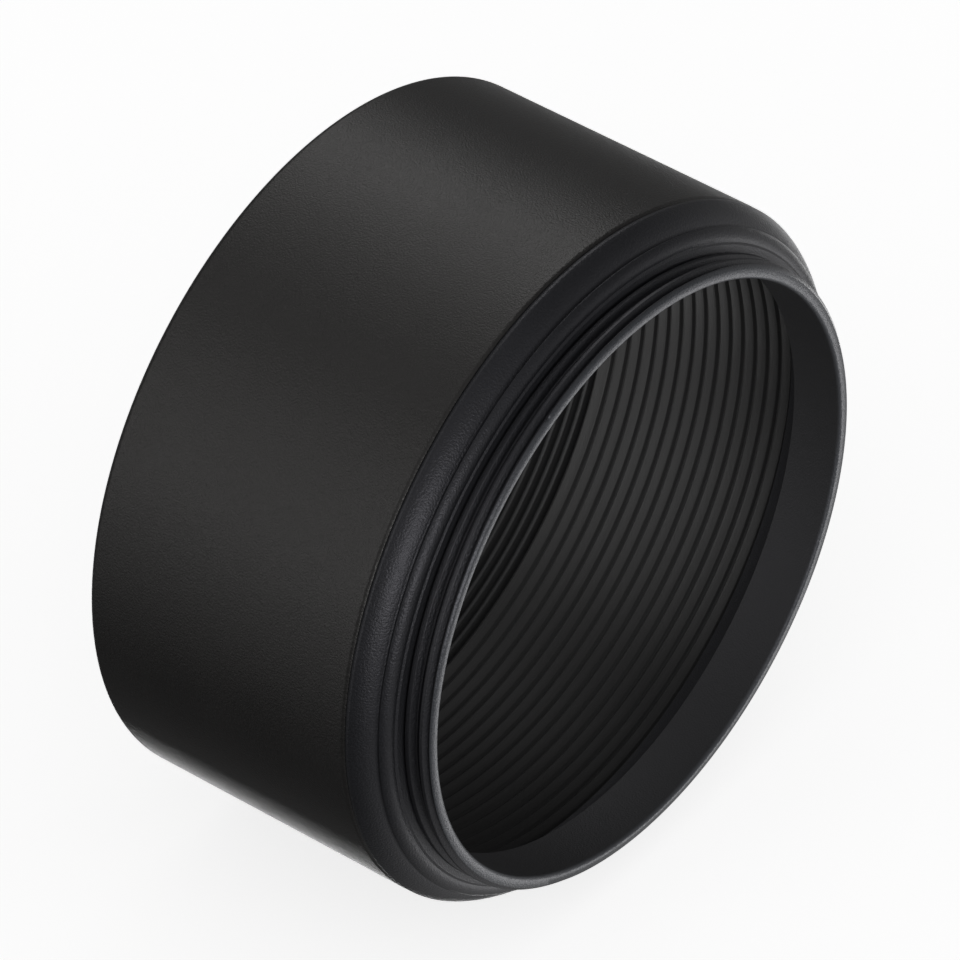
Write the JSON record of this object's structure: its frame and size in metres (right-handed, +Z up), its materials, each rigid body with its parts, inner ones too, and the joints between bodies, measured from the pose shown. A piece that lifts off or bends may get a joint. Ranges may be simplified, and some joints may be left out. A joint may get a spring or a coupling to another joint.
{
  "type": "lens hood",
  "caption": "Screw-in telephoto lens hood: plain black tube with a threaded rear mount ring, a grooved light-trap liner and a front accessory thread.",
  "frame": {"origin": "on the optical axis, in the plane of the rear seat that stops against the lens", "axes": "the optical axis is Y: the lens thread points to -Y and the open front to +Y, with +Z up"},
  "size_m": [0.048, 0.0252, 0.048],
  "materials": {
    "anodised_shoulder": "black anodised, fine blasted, satin",
    "anodised_barrel": "black anodised, fine blasted, matte",
    "light_trap": "black anodised, turned, dull",
    "anodised_front": "black anodised, turned, matte"
  },
  "bodies": {
    "root": {"mount_ring": "anodised_shoulder", "hood_barrel": "anodised_barrel", "baffle_liner": "light_trap", "front_thread_ring": "anodised_front"}
  },
  "joints": []
}
